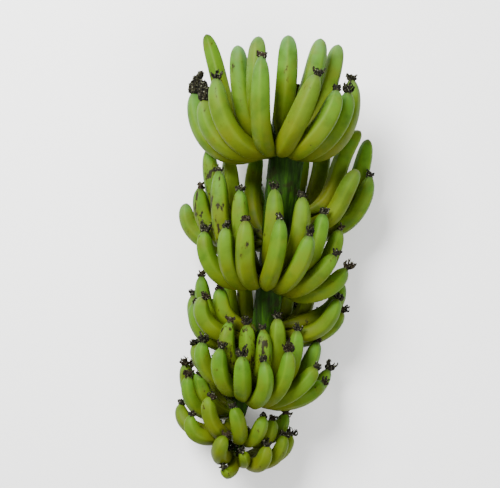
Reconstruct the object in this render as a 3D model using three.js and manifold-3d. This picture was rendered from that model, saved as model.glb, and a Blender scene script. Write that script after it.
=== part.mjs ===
// A whole bunch of green bananas, cut with its stem and laid down on a flat surface. Millimetres, +Z up.
// +X runs across the bunch, +Y along it towards the stem's cut end, and +Z up from the surface it lies on.
// The stem is one solid. Each hand is one solid too: a cushion that wraps part of the stem, and two rows of
// fingers that grow out of it and curve towards the cut end, each with its dried flower at the tip.
import * as THREE from "three";
import { mergeVertices } from "three/addons/utils/BufferGeometryUtils.js";
import Module from "manifold-3d";

const wasm = await Module();
wasm.setup();

// The stem's centre line from its cut end to its shrivelled end: along, across, height and radius.
const STEM = [
  [282, 78, 159, 33],
  [187, 68, 155, 33],
  [124, 61, 149, 32],
  [7, 47, 139, 28],
  [-128, 29, 124, 24],
  [-218, 11, 113, 20],
  [-290, -17, 102, 16],
  [-335, -27, 95, 14],
  [-375, -24, 88, 12],
  [-412, -22, 82, 9],
];
const STEM_SIDES = 12;
const STEM_STEP = 28;
const SEAT_GAP = 0.4; // between the stem and the cushions seated on it

// Each hand. Angles in degrees round the stem: 0 faces up, 90 faces +X, 180 faces the surface below.
// seat: the height along the stem of the cushion at its two ends and in its middle.
// outer and inner: the two rows of fingers, the inner one nearer the cut end. from, to: where its pedicels
// leave the cushion between. flower: the length of the dried flower at the tips.
// tips: for each finger the angle of its tip, its reach from the stem and its rise above its hand's level,
// then the degrees its tip leans in and its flower's length, where they aren't the hand's and the row's,
// and how plump it is beside the hand's girth.
const HANDS = [
  {
    name: "hand_1", level: 176, girth: 18.2, lean: 4, seat: [157, 163, 152],
    outer: {
      from: -79, to: 41, flower: 11,
      tips: [[-92, 166, 94, -2, 40], [-74, 152, 75, 0, 34], [-56, 150, 104], [-19, 146, 133, 4, 11, 0.93],
        [21, 136, 102, -12], [38, 128, 82, -10], [58, 118, 85, -8], [82, 112, 116]],
    },
    inner: {
      from: -84, to: 32, flower: 0,
      tips: [[-95, 146, 199, -20, 0, 0.76], [-63, 99, 169, -2], [-33, 95, 178, 10], [-1, 80, 180, 0],
        [46, 78, 179, -14], [84, 90, 177, -14]],
    },
  },
  {
    name: "hand_2", level: 47, girth: 16.6, lean: -4, seat: [46, 4, 6],
    outer: {
      from: 78, to: 288, flower: 11,
      tips: [[81, 140, 84, -44, 0], [100, 166, 76, -10], [120, 150, 25, -20], [143, 160, 55, 2],
        [169, 131, 72, 2], [196, 134, 62, 2], [224, 164, 46, 2], [257, 172, 27, 8, 0], [274, 138, 53]],
    },
    inner: {
      from: 80, to: 282, flower: 11,
      tips: [[92, 148, 154, -38, 0], [105, 172, 143, -4, 0], [126, 106, 160], [150, 94, 160],
        [178, 92, 140], [218, 60, 120, 24], [249, 97, 115], [266, 129, 122]],
    },
  },
  {
    name: "hand_3", level: -67, girth: 16.4, lean: 4, seat: [-67, -70, -98],
    outer: {
      from: -79, to: 57, flower: 11,
      tips: [[-71, 125, 86, 12], [-40, 122, 96, 6], [-21, 125, 106], [6, 123, 109, 0], [31, 123, 82, -20],
        [61, 124, 49, -40], [85, 131, 24, -40]],
    },
    inner: {
      from: -72, to: 78, flower: 11,
      tips: [[-70, 101, 194], [-39, 87, 160], [3, 84, 161], [36, 90, 148], [64, 104, 119, -8],
        [92, 124, 92, -12]],
    },
  },
  {
    name: "hand_4", level: -169, girth: 15.6, lean: 0, seat: [-154, -188, -160],
    outer: {
      from: 74, to: 312, flower: 11,
      tips: [[79, 136, 73, -16], [98, 147, 45, -14], [124, 128, 40], [150, 129, 50, 2], [179, 106, 60, 2],
        [205, 117, 52, 2], [230, 124, 55], [256, 130, 74], [275, 121, 63], [299, 110, 71]],
    },
    inner: {
      from: 84, to: 306, flower: 11,
      tips: [[92, 142, 100], [112, 92, 96], [142, 78, 112], [174, 73, 112], [205, 76, 112], [232, 80, 106],
        [262, 112, 110], [292, 78, 92]],
    },
  },
  {
    name: "hand_5", level: -266, girth: 15.4, lean: 4, seat: [-226, -272, -284],
    outer: {
      from: -72, to: 97, flower: 11,
      tips: [[-104, 99, 80], [-46, 99, 92], [-22, 103, 83], [-4, 109, 70], [15, 110, 65],
        [37, 117, 77, -10], [67, 132, 41, -34], [88, 138, 11, -44], [102, 157, 32, -30]],
    },
    inner: {
      from: -44, to: 92, flower: 11,
      tips: [[-26, 60, 130], [0, 66, 122], [22, 75, 116], [44, 80, 132], [64, 102, 114, -10],
        [86, 126, 93, -18]],
    },
  },
  {
    name: "hand_6", level: -302, girth: 14.2, lean: 0, seat: [-306, -312, -300],
    outer: {
      from: 172, to: 316, flower: 9,
      tips: [[193, 92, 40, 2], [221, 104, 40, 2], [250, 98, 70], [274, 95, 82], [290, 93, 62],
        [304, 80, 62]],
    },
    inner: {
      from: 176, to: 290, flower: 9,
      tips: [[196, 60, 76], [226, 62, 84]],
    },
  },
  {
    name: "hand_7", level: -346, girth: 14.6, lean: 4, seat: [-338, -348, -356],
    outer: {
      from: -92, to: 108, flower: 9,
      tips: [[-98, 97, 51, 8], [-62, 82, 45, 8], [-32, 74, 70], [-3, 76, 58], [49, 74, 48, -12],
        [68, 74, 47, -12], [96, 94, 34, -20]],
    },
    inner: {
      from: -80, to: -10, flower: 9,
      tips: [[-48, 42, 40, 4, 9, 0.75]],
    },
  },
  {
    name: "hand_8", level: -392, girth: 13.4, lean: -16, seat: [-380, -398, -388],
    outer: {
      from: -60, to: 190, flower: 8,
      tips: [[-20, 70, 56, 22, 8, 1.16], [-25, 66, 8, -35, 8, 0.92], [6, 58, 24, -26, 8, 0.8],
        [45, 71, 34, -22, 8, 1.08], [75, 88, 44, -14], [94, 96, 40, -14], [142, 76, 16, -40],
        [176, 60, 12, -40]],
    },
  },
];
const ROW_LIFT = { outer: 0, inner: 17 }; // the inner row leaves the cushion nearer the cut end
const ROW_ELEVATION = { outer: -12, inner: 4 }; // degrees at which its pedicels leave the stem
const PEDICEL_SINK = 5; // how far a finger's root is sunk below the stem's skin
const BEND = { start: 0.74, lift: 0.06, finish: 0.66 }; // how square the bend is from pedicel to tip

// A finger's radius, as a share of its girth, along its length: pedicel, body and the neck at the tip.
const FINGER_PROFILE = [
  [0, 0.48], [0.08, 0.42], [0.16, 0.56], [0.24, 0.82], [0.33, 0.98], [0.48, 1.03], [0.66, 1.01],
  [0.8, 0.96], [0.9, 0.82], [0.955, 0.62], [0.985, 0.42], [1, 0.3],
];
const FINGER_RINGS = [0, 0.15, 0.28, 0.44, 0.62, 0.8, 0.93, 1];
const SMALL_FINGER_RINGS = [0, 0.18, 0.36, 0.58, 0.8, 0.93, 1];
const SMALL_GIRTH = 15;
const FINGER_SIDES = 5;
const RIDGE = 1.08; // the section's five ridges stand this much out of the round finger
const FLOWER = [[0.36, 0.46], [1, 0.24]]; // the dried flower's rings: share of its length, and of the girth

// How the fingers settle against each other, the stem and the surface below.
const SETTLE = {
  points: 14, steps: 160, pull: 1, most: 20, sameHand: -1, otherHand: 3.2, near: 45, stem: 2, free: 0.42,
};
const SINK = 1.2; // mm taken off where the lowest fingers press flat on the surface

// Draws between -1 and 1, the same ones every time.
let draws = 7;
function draw() {
  draws = (draws * 48271) % 2147483647;
  return (2 * draws) / 2147483647 - 1;
}
const VARY = { girth: 0.03, roll: 0.25 }; // how much fingers differ, as a share and in radians

const rad = (degrees) => (degrees * Math.PI) / 180;
const mix = (a, b, t) => a + (b - a) * t;

// The value at x of the smooth curve through rows of [x, values...], whose x may run either way.
function curveThrough(rows, x, column) {
  const up = rows[0][0] < rows[rows.length - 1][0];
  let i = 0;
  while (i < rows.length - 2 && (up ? x > rows[i + 1][0] : x < rows[i + 1][0])) i++;
  const [a, b] = [rows[i], rows[i + 1]];
  const [p, q] = [rows[i - 1] ?? a, rows[i + 2] ?? b];
  const span = b[0] - a[0];
  const t = Math.min(1, Math.max(0, (x - a[0]) / span));
  const slopeA = ((b[column] - p[column]) / (b[0] - p[0])) * span;
  const slopeB = ((q[column] - a[column]) / (q[0] - a[0])) * span;
  const [t2, t3] = [t * t, t * t * t];
  return (2 * t3 - 3 * t2 + 1) * a[column] + (t3 - 2 * t2 + t) * slopeA
    + (3 * t2 - 2 * t3) * b[column] + (t3 - t2) * slopeB;
}

const stemAt = (y) => new THREE.Vector3(curveThrough(STEM, y, 1), y, curveThrough(STEM, y, 2));
const stemRadius = (y) => curveThrough(STEM, y, 3);
const outward = (angle) => new THREE.Vector3(Math.sin(rad(angle)), 0, Math.cos(rad(angle)));
const profileAt = (s) => curveThrough(FINGER_PROFILE, s, 1);

// The angles at which a hand's cushion starts and ends.
function cushionEnds(hand) {
  const rows = [hand.outer, hand.inner].filter(Boolean);
  return [Math.min(...rows.map((row) => row.from)), Math.max(...rows.map((row) => row.to))];
}

// The height along the stem of a hand's cushion at an angle round the stem.
function seatAt(hand, angle) {
  const [from, to] = cushionEnds(hand);
  const t = (angle - from) / (to - from);
  const [a, m, b] = hand.seat;
  return a * (1 - t) * (1 - 2 * t) + m * 4 * t * (1 - t) + b * t * (2 * t - 1);
}

// One finger with nothing in its way: a curve that leaves the stem and turns up to its tip.
function freeFinger(hand, row, index) {
  const { from, to, tips } = hand[row];
  const angle = mix(from, to, (index + 0.5) / tips.length);
  const y = seatAt(hand, angle) + ROW_LIFT[row];
  const out = outward(angle);
  const root = stemAt(y).addScaledVector(out, stemRadius(y) - PEDICEL_SINK);
  const [tipAngle, reach, rise, lean = hand.lean, flower = hand[row].flower, plump = 1] = tips[index];
  const tipOut = outward(tipAngle);
  const end = stemAt(hand.level).addScaledVector(tipOut, reach);
  end.y = hand.level + rise;
  const elevation = rad(ROW_ELEVATION[row]);
  const start = out.clone().multiplyScalar(Math.cos(elevation));
  start.y = Math.sin(elevation);
  const finish = tipOut.clone().multiplyScalar(-Math.sin(rad(lean)));
  finish.y = Math.cos(rad(lean));
  const across = Math.hypot(end.x - root.x, end.z - root.z);
  const up = Math.abs(end.y - root.y);
  const curve = new THREE.CubicBezierCurve3(
    root,
    root.clone().addScaledVector(start, BEND.start * across + BEND.lift * up),
    end.clone().addScaledVector(finish, -BEND.finish * up),
    end,
  );
  curve.arcLengthDivisions = 200;
  return {
    hand, row, index, curve, flower,
    girth: hand.girth * plump * (1 + VARY.girth * draw()),
    roll: VARY.roll * draw(),
    tipPush: new THREE.Vector3(), bellyPush: new THREE.Vector3(),
  };
}

// How much of a push at the tip or at the belly a point of the finger follows. Its root stays put.
const tipShare = (s) => s * s * (3 - 2 * s);
const bellyShare = (s) => 6.75 * s * s * (1 - s);

function pointOn(finger, s) {
  return finger.curve.getPointAt(Math.min(1, Math.max(0, s)))
    .addScaledVector(finger.tipPush, tipShare(s))
    .addScaledVector(finger.bellyPush, bellyShare(s));
}

// Lets the fingers bend clear of each other, of the stem and of the surface, each as a row of balls.
function settle(fingers) {
  const last = SETTLE.points - 1;
  const balls = [];
  fingers.forEach((finger) => {
    for (let k = 1; k <= last; k++) {
      const s = k / last;
      const rest = finger.curve.getPointAt(s);
      balls.push({
        finger, s, rest, at: rest.clone(), radius: finger.girth * profileAt(s),
        tip: tipShare(s), belly: bellyShare(s), push: new THREE.Vector3(),
      });
    }
    const tangent = finger.curve.getTangentAt(1);
    const flowerTip = finger.curve.getPointAt(1).addScaledVector(tangent, finger.flower * 0.75);
    balls.push({
      finger, s: 1, rest: flowerTip, at: flowerTip.clone(), radius: finger.girth * FLOWER[0][1],
      tip: 1, belly: 0, push: new THREE.Vector3(),
    });
  });
  const pairs = [];
  for (let i = 0; i < balls.length; i++)
    for (let j = i + 1; j < balls.length; j++) {
      const [a, b] = [balls[i], balls[j]];
      const sameHand = a.finger.hand === b.finger.hand;
      if (a.finger === b.finger || (sameHand && Math.min(a.s, b.s) < SETTLE.free)) continue;
      const gap = sameHand ? SETTLE.sameHand : SETTLE.otherHand;
      const need = a.radius + b.radius + gap;
      if (a.rest.distanceTo(b.rest) < need + SETTLE.near) pairs.push([a, b, need]);
    }
  const line = new THREE.Vector3();
  for (let step = 0; step < SETTLE.steps; step++) {
    for (const ball of balls) {
      ball.at.copy(ball.rest)
        .addScaledVector(ball.finger.tipPush, ball.tip)
        .addScaledVector(ball.finger.bellyPush, ball.belly);
      ball.push.set(0, 0, 0);
      const low = ball.radius - ball.at.z;
      if (low > 0) ball.push.z += low;
      line.copy(ball.at).sub(stemAt(ball.at.y)).setY(0);
      const close = stemRadius(ball.at.y) + ball.radius + SETTLE.stem - line.length();
      if (ball.s > 0.35 && close > 0) ball.push.addScaledVector(line.normalize(), close);
    }
    for (const [a, b, need] of pairs) {
      line.copy(b.at).sub(a.at);
      const over = need - line.length();
      if (over <= 0) continue;
      line.normalize().multiplyScalar(over / 2);
      a.push.sub(line);
      b.push.add(line);
    }
    const sums = new Map(fingers.map((finger) => [finger, {
      tip: new THREE.Vector3(), belly: new THREE.Vector3(), weight: 0.3,
    }]));
    for (const ball of balls) {
      if (ball.push.lengthSq() === 0) continue;
      const sum = sums.get(ball.finger);
      sum.tip.addScaledVector(ball.push, ball.tip);
      sum.belly.addScaledVector(ball.push, ball.belly);
      sum.weight += ball.tip ** 2 + ball.belly ** 2;
    }
    for (const [finger, sum] of sums) {
      finger.tipPush.addScaledVector(sum.tip, SETTLE.pull / sum.weight).clampLength(0, SETTLE.most);
      finger.bellyPush.addScaledVector(sum.belly, SETTLE.pull / sum.weight).clampLength(0, SETTLE.most);
    }
  }
}

// A closed solid of a mesh, from its places and triangles alone.
function solidOf(geometry) {
  geometry.deleteAttribute("normal");
  geometry.deleteAttribute("uv");
  const merged = mergeVertices(geometry);
  return new wasm.Manifold(new wasm.Mesh({
    numProp: 3,
    vertProperties: new Float32Array(merged.attributes.position.array),
    triVerts: new Uint32Array(merged.index.array),
  }));
}

// A cylinder bent to run through centres, with radii [wide, deep] at each. Wide lies along side.
function tube(centres, radii, sides, side, roll = 0) {
  const last = centres.length - 1;
  const across = side.clone();
  const frames = centres.map((centre, i) => {
    const along = centres[Math.min(i + 1, last)].clone().sub(centres[Math.max(i - 1, 0)]).normalize();
    across.addScaledVector(along, -across.dot(along)).normalize();
    return { centre, across: across.clone(), over: along.clone().cross(across) };
  });
  const geometry = new THREE.CylinderGeometry(1, 1, last, sides, last, false, Math.PI / 2 - roll);
  const places = geometry.attributes.position;
  for (let v = 0; v < places.count; v++) {
    const i = Math.round(last / 2 - places.getY(v));
    const corner = frames[i].centre.clone()
      .addScaledVector(frames[i].across, radii[i][0] * places.getX(v))
      .addScaledVector(frames[i].over, radii[i][1] * places.getZ(v));
    places.setXYZ(v, corner.x, corner.y, corner.z);
  }
  return solidOf(geometry);
}

function fingerSolid(finger) {
  const rings = finger.hand.girth < SMALL_GIRTH ? SMALL_FINGER_RINGS : FINGER_RINGS;
  const centres = rings.map((s) => pointOn(finger, s));
  const radii = rings.map((s) => finger.girth * profileAt(s) * RIDGE);
  const tip = pointOn(finger, 1);
  const along = tip.clone().sub(pointOn(finger, 0.94)).normalize();
  for (const [part, share] of finger.flower ? FLOWER : []) {
    centres.push(tip.clone().addScaledVector(along, finger.flower * part));
    radii.push(finger.girth * share);
  }
  const bendAcross = centres[3].clone().sub(centres[0]).cross(along).normalize();
  return tube(centres, radii.map((r) => [r, r]), FINGER_SIDES, bendAcross, Math.PI / 2 + finger.roll);
}

// The pad of green tissue that a hand's pedicels stand on, round part of the stem.
function cushionSolid(hand) {
  const [from, to] = cushionEnds(hand);
  const steps = Math.ceil((to - from) / 24);
  const height = hand.inner ? 17 : 10;
  const lift = hand.inner ? ROW_LIFT.inner / 2 : 0;
  const centres = [];
  const radii = [];
  for (let i = 0; i <= steps; i++) {
    const t = i / steps;
    const angle = mix(from - 4, to + 4, t);
    const y = seatAt(hand, angle) + lift;
    const full = Math.min(1, 0.55 + 3 * Math.min(t, 1 - t));
    centres.push(stemAt(y).addScaledVector(outward(angle), stemRadius(y) + 1));
    radii.push([height * full, 9 * full]);
  }
  return tube(centres, radii, 6, new THREE.Vector3(0, 1, 0));
}

function stemSolid(extra = 0) {
  const [top, end] = [STEM[0][0] + extra, STEM[STEM.length - 1][0] - extra];
  const steps = Math.round((top - end) / STEM_STEP);
  const centres = [];
  const radii = [];
  for (let i = 0; i <= steps; i++) {
    const y = mix(top, end, i / steps);
    centres.push(stemAt(y));
    radii.push([stemRadius(y) + extra, stemRadius(y) + extra]);
  }
  return tube(centres, radii, STEM_SIDES, new THREE.Vector3(1, 0, 0));
}

const GREEN = { color: 0x7c9a2e, roughness: 0.45, metalness: 0 };
const STEM_GREEN = { color: 0x3d5a1e, roughness: 0.6, metalness: 0 };

function meshOf(name, solid, look) {
  const made = solid.getMesh();
  const geometry = new THREE.BufferGeometry();
  const positions = new Float32Array(made.numVert * 3);
  for (let i = 0; i < made.numVert; i++)
    positions.set(made.vertProperties.subarray(i * made.numProp, i * made.numProp + 3), i * 3);
  geometry.setAttribute("position", new THREE.BufferAttribute(positions, 3));
  geometry.setIndex(new THREE.BufferAttribute(new Uint32Array(made.triVerts), 1));
  const mesh = new THREE.Mesh(geometry, new THREE.MeshStandardMaterial(look));
  mesh.name = name;
  return mesh;
}

const fingers = HANDS.flatMap((hand) => ["outer", "inner"].filter((row) => hand[row])
  .flatMap((row) => hand[row].tips.map((tip, i) => freeFinger(hand, row, i))));
settle(fingers);

const seatCutter = stemSolid(SEAT_GAP);
const surfaceCutter = solidOf(new THREE.BoxGeometry(1200, 1200, 100).translate(0, 0, SINK - 50));

const bunch = new THREE.Group();
bunch.add(meshOf("stem", stemSolid(), STEM_GREEN));
for (const hand of HANDS) {
  const solid = fingers.filter((finger) => finger.hand === hand)
    .reduce((sum, finger) => sum.add(fingerSolid(finger)), cushionSolid(hand))
    .subtract(seatCutter)
    .subtract(surfaceCutter);
  bunch.add(meshOf(hand.name, solid, GREEN));
}

const box = new THREE.Box3().setFromObject(bunch);
const middle = box.getCenter(new THREE.Vector3());
bunch.position.set(-middle.x, -middle.y, -box.min.z);

export default bunch;
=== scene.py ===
# %% [markdown]
# # A bunch of green bananas
# A whole bunch, cut with its stem and laid on its back on a pale floor, seen from straight above. The
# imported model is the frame: it says where the stem and the eight hands are, and every new piece is fitted
# to it. The fingers follow the same rule as the model's, so each one lies where its solid is.

# %% Load the frame
import math
import bmesh
import bpy
import numpy as np
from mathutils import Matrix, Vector


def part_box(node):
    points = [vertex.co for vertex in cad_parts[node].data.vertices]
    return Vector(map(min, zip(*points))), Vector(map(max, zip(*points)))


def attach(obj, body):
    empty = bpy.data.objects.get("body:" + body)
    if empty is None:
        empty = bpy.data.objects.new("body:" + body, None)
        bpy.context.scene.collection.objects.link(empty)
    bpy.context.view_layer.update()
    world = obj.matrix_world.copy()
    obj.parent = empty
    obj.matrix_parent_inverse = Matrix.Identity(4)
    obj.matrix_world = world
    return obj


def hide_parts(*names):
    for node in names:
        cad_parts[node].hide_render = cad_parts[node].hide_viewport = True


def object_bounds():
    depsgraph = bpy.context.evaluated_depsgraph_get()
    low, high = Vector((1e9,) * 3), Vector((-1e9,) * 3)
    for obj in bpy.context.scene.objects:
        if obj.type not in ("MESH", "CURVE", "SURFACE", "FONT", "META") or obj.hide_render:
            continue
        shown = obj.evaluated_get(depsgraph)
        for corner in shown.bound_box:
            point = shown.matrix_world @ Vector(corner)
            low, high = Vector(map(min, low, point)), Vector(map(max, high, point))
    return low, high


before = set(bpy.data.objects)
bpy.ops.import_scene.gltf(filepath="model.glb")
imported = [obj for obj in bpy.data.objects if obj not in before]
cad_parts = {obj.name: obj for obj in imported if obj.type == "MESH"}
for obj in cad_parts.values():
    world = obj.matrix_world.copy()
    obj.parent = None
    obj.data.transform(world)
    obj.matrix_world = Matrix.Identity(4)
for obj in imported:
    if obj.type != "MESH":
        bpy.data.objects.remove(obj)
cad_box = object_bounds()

print("model box", [[round(c, 3) for c in corner] for corner in cad_box])

# %% [markdown]
# ## The stem and the hands, as measured
# Lengths are in millimetres, in the frame the bunch grows in: +Y to the cut end, +Z up from the floor.
# Angles run round the stem in degrees: 0 faces up, 90 faces +X. A hand's seat is how far along the stem its
# cushion lies at one end, in the middle and at the other end. Its fingers leave the cushion at angles
# between from and to, in an outer row and an inner row nearer the cut end.
#
# Each finger is its tip's angle, its reach from the stem and its rise above the level of its hand. Then
# come the degrees it leans in, the length of its dried flower and how plump it is, where they aren't its
# hand's.

# %% The stem's centre line: along, across, height and radius
STEM = [
  [282, 78, 159, 33],
  [187, 68, 155, 33],
  [124, 61, 149, 32],
  [7, 47, 139, 28],
  [-128, 29, 124, 24],
  [-218, 11, 113, 20],
  [-290, -17, 102, 16],
  [-335, -27, 95, 14],
  [-375, -24, 88, 12],
  [-412, -22, 82, 9],
]
print("stem", STEM[0][0] - STEM[-1][0], "mm long, from its cut end to its thin end")

# %% The eight hands, from the cut end down
HANDS = [
  {
    "name": "hand_1", "level": 176, "girth": 18.2, "lean": 4, "seat": [157, 163, 152],
    "outer": {
      "from": -79, "to": 41, "flower": 11,
      "tips": [[-92, 166, 94, -2, 40], [-74, 152, 75, 0, 34], [-56, 150, 104], [-19, 146, 133, 4, 11, 0.93],
        [21, 136, 102, -12], [38, 128, 82, -10], [58, 118, 85, -8], [82, 112, 116]],
    },
    "inner": {
      "from": -84, "to": 32, "flower": 0,
      "tips": [[-95, 146, 199, -20, 0, 0.76], [-63, 99, 169, -2], [-33, 95, 178, 10], [-1, 80, 180, 0],
        [46, 78, 179, -14], [84, 90, 177, -14]],
    },
  },
  {
    "name": "hand_2", "level": 47, "girth": 16.6, "lean": -4, "seat": [46, 4, 6],
    "outer": {
      "from": 78, "to": 288, "flower": 11,
      "tips": [[81, 140, 84, -44, 0], [100, 166, 76, -10], [120, 150, 25, -20], [143, 160, 55, 2],
        [169, 131, 72, 2], [196, 134, 62, 2], [224, 164, 46, 2], [257, 172, 27, 8, 0], [274, 138, 53]],
    },
    "inner": {
      "from": 80, "to": 282, "flower": 11,
      "tips": [[92, 148, 154, -38, 0], [105, 172, 143, -4, 0], [126, 106, 160], [150, 94, 160],
        [178, 92, 140], [218, 60, 120, 24], [249, 97, 115], [266, 129, 122]],
    },
  },
  {
    "name": "hand_3", "level": -67, "girth": 16.4, "lean": 4, "seat": [-67, -70, -98],
    "outer": {
      "from": -79, "to": 57, "flower": 11,
      "tips": [[-71, 125, 86, 12], [-40, 122, 96, 6], [-21, 125, 106], [6, 123, 109, 0], [31, 123, 82, -20],
        [61, 124, 49, -40], [85, 131, 24, -40]],
    },
    "inner": {
      "from": -72, "to": 78, "flower": 11,
      "tips": [[-70, 101, 194], [-39, 87, 160], [3, 84, 161], [36, 90, 148], [64, 104, 119, -8],
        [92, 124, 92, -12]],
    },
  },
  {
    "name": "hand_4", "level": -169, "girth": 15.6, "lean": 0, "seat": [-154, -188, -160],
    "outer": {
      "from": 74, "to": 312, "flower": 11,
      "tips": [[79, 136, 73, -16], [98, 147, 45, -14], [124, 128, 40], [150, 129, 50, 2], [179, 106, 60, 2],
        [205, 117, 52, 2], [230, 124, 55], [256, 130, 74], [275, 121, 63], [299, 110, 71]],
    },
    "inner": {
      "from": 84, "to": 306, "flower": 11,
      "tips": [[92, 142, 100], [112, 92, 96], [142, 78, 112], [174, 73, 112], [205, 76, 112], [232, 80, 106],
        [262, 112, 110], [292, 78, 92]],
    },
  },
  {
    "name": "hand_5", "level": -266, "girth": 15.4, "lean": 4, "seat": [-226, -272, -284],
    "outer": {
      "from": -72, "to": 97, "flower": 11,
      "tips": [[-104, 99, 80], [-46, 99, 92], [-22, 103, 83], [-4, 109, 70], [15, 110, 65],
        [37, 117, 77, -10], [67, 132, 41, -34], [88, 138, 11, -44], [102, 157, 32, -30]],
    },
    "inner": {
      "from": -44, "to": 92, "flower": 11,
      "tips": [[-26, 60, 130], [0, 66, 122], [22, 75, 116], [44, 80, 132], [64, 102, 114, -10],
        [86, 126, 93, -18]],
    },
  },
  {
    "name": "hand_6", "level": -302, "girth": 14.2, "lean": 0, "seat": [-306, -312, -300],
    "outer": {
      "from": 172, "to": 316, "flower": 9,
      "tips": [[193, 92, 40, 2], [221, 104, 40, 2], [250, 98, 70], [274, 95, 82], [290, 93, 62],
        [304, 80, 62]],
    },
    "inner": {
      "from": 176, "to": 290, "flower": 9,
      "tips": [[196, 60, 76], [226, 62, 84]],
    },
  },
  {
    "name": "hand_7", "level": -346, "girth": 14.6, "lean": 4, "seat": [-338, -348, -356],
    "outer": {
      "from": -92, "to": 108, "flower": 9,
      "tips": [[-98, 97, 51, 8], [-62, 82, 45, 8], [-32, 74, 70], [-3, 76, 58], [49, 74, 48, -12],
        [68, 74, 47, -12], [96, 94, 34, -20]],
    },
    "inner": {
      "from": -80, "to": -10, "flower": 9,
      "tips": [[-48, 42, 40, 4, 9, 0.75]],
    },
  },
  {
    "name": "hand_8", "level": -392, "girth": 13.4, "lean": -16, "seat": [-380, -398, -388],
    "outer": {
      "from": -60, "to": 190, "flower": 8,
      "tips": [[-20, 70, 56, 22, 8, 1.16], [-25, 66, 8, -35, 8, 0.92], [6, 58, 24, -26, 8, 0.8],
        [45, 71, 34, -22, 8, 1.08], [75, 88, 44, -14], [94, 96, 40, -14], [142, 76, 16, -40],
        [176, 60, 12, -40]],
    },
  },
]

# A finger's radius along its length, as a share of its girth: the pedicel, the body and the tip's neck.
FINGER_PROFILE = [
  [0, 0.48], [0.08, 0.42], [0.16, 0.56], [0.24, 0.82], [0.33, 0.98], [0.48, 1.03], [0.66, 1.01],
  [0.8, 0.96], [0.9, 0.82], [0.955, 0.62], [0.985, 0.42], [1, 0.3],
]
ROW_LIFT = {"outer": 0, "inner": 17}  # how much nearer the cut end a row leaves the cushion
ROW_ELEVATION = {"outer": -12, "inner": 4}  # degrees at which its pedicels leave the stem
PEDICEL_SINK = 5  # how far a finger's root is sunk below the stem's skin
BEND_START, BEND_LIFT, BEND_FINISH = 0.74, 0.06, 0.66  # how square the bend is from pedicel to tip
GIRTH_VARIES, ROLL_VARIES = 0.03, 0.25  # how much fingers differ: a share of the girth, and radians
FLOOR_LEVEL = 1.2  # the height of the floor here, a little above 0, so the lowest fingers are pressed flat
print(sum(len(hand[row]["tips"]) for hand in HANDS for row in ("outer", "inner") if row in hand), "fingers")

# %% [markdown]
# ## Smooth curves through the measurements
# A stem or a finger is thick here and thin there. One function draws a smooth curve through a table of
# measurements, so the same few numbers serve for the coarse solid and for the fine surface. Straight lines
# between the measurements would show as kinks.

# %% A smooth curve through a table's rows
def curve_through(rows, x, column):
    """The value in a column at x, with rows that start with x and may run either way."""
    table = np.array([list(row) for row in rows], float)
    if table[0, 0] > table[-1, 0]:
        table = table[::-1]
    x = np.clip(np.asarray(x, float), table[0, 0], table[-1, 0])
    i = np.clip(np.searchsorted(table[:, 0], x, side="right") - 1, 0, len(table) - 2)
    before, after = np.maximum(i - 1, 0), np.minimum(i + 2, len(table) - 1)
    key, value = table[:, 0], table[:, column]
    span = key[i + 1] - key[i]
    t = (x - key[i]) / span
    slope_a = (value[i + 1] - value[before]) / (key[i + 1] - key[before]) * span
    slope_b = (value[after] - value[i]) / (key[after] - key[i]) * span
    return ((2 * t**3 - 3 * t**2 + 1) * value[i] + (t**3 - 2 * t**2 + t) * slope_a
            + (3 * t**2 - 2 * t**3) * value[i + 1] + (t**3 - t**2) * slope_b)


def stem_at(y):
    y = np.asarray(y, float)
    return np.stack([curve_through(STEM, y, 1), y, curve_through(STEM, y, 2)], axis=-1)


def stem_radius(y):
    return curve_through(STEM, y, 3)


def outward(angle):
    a = math.radians(angle)
    return np.array([math.sin(a), 0.0, math.cos(a)])


def unit(v):
    return v / np.linalg.norm(v)


print("stem radius at the top hand", round(float(stem_radius(176)), 1), "mm")

# %% [markdown]
# ## Where each finger grows
# A finger leaves the cushion square to the stem, swells, and bends up towards the cut end, because a
# hanging bunch's fingers turn to the light. Each could be posed by hand, but then it wouldn't lie where its
# solid is, so its place is worked out from the tables by the model's own rule. Small draws make the fingers
# differ in girth and in the turn of their ridges. They come from a fixed start and are the same every time.

# %% Draws, and the line of a cushion
drawn = 7


def draw():
    """The next draw between -1 and 1."""
    global drawn
    drawn = (drawn * 48271) % 2147483647
    return 2 * drawn / 2147483647 - 1


def cushion_ends(hand):
    rows = [hand[row] for row in ("outer", "inner") if row in hand]
    return min(row["from"] for row in rows), max(row["to"] for row in rows)


def seat_at(hand, angle):
    """How far along the stem the cushion lies at an angle round it."""
    start, end = cushion_ends(hand)
    t = (angle - start) / (end - start)
    a, m, b = hand["seat"]
    return a * (1 - t) * (1 - 2 * t) + m * 4 * t * (1 - t) + b * t * (2 * t - 1)


print("the top hand's cushion reaches round the stem from", *cushion_ends(HANDS[0]), "degrees")

# %% [markdown]
# ## One finger's line
# A Bezier curve with its two handles along the pedicel and along the tip gives the bend of a real finger
# with only four points. The points along it are spread by its true length, so a share of 0.5 is really
# halfway. Two pushes, at the tip and at the belly, can bend it later without moving its pedicel.

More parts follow.
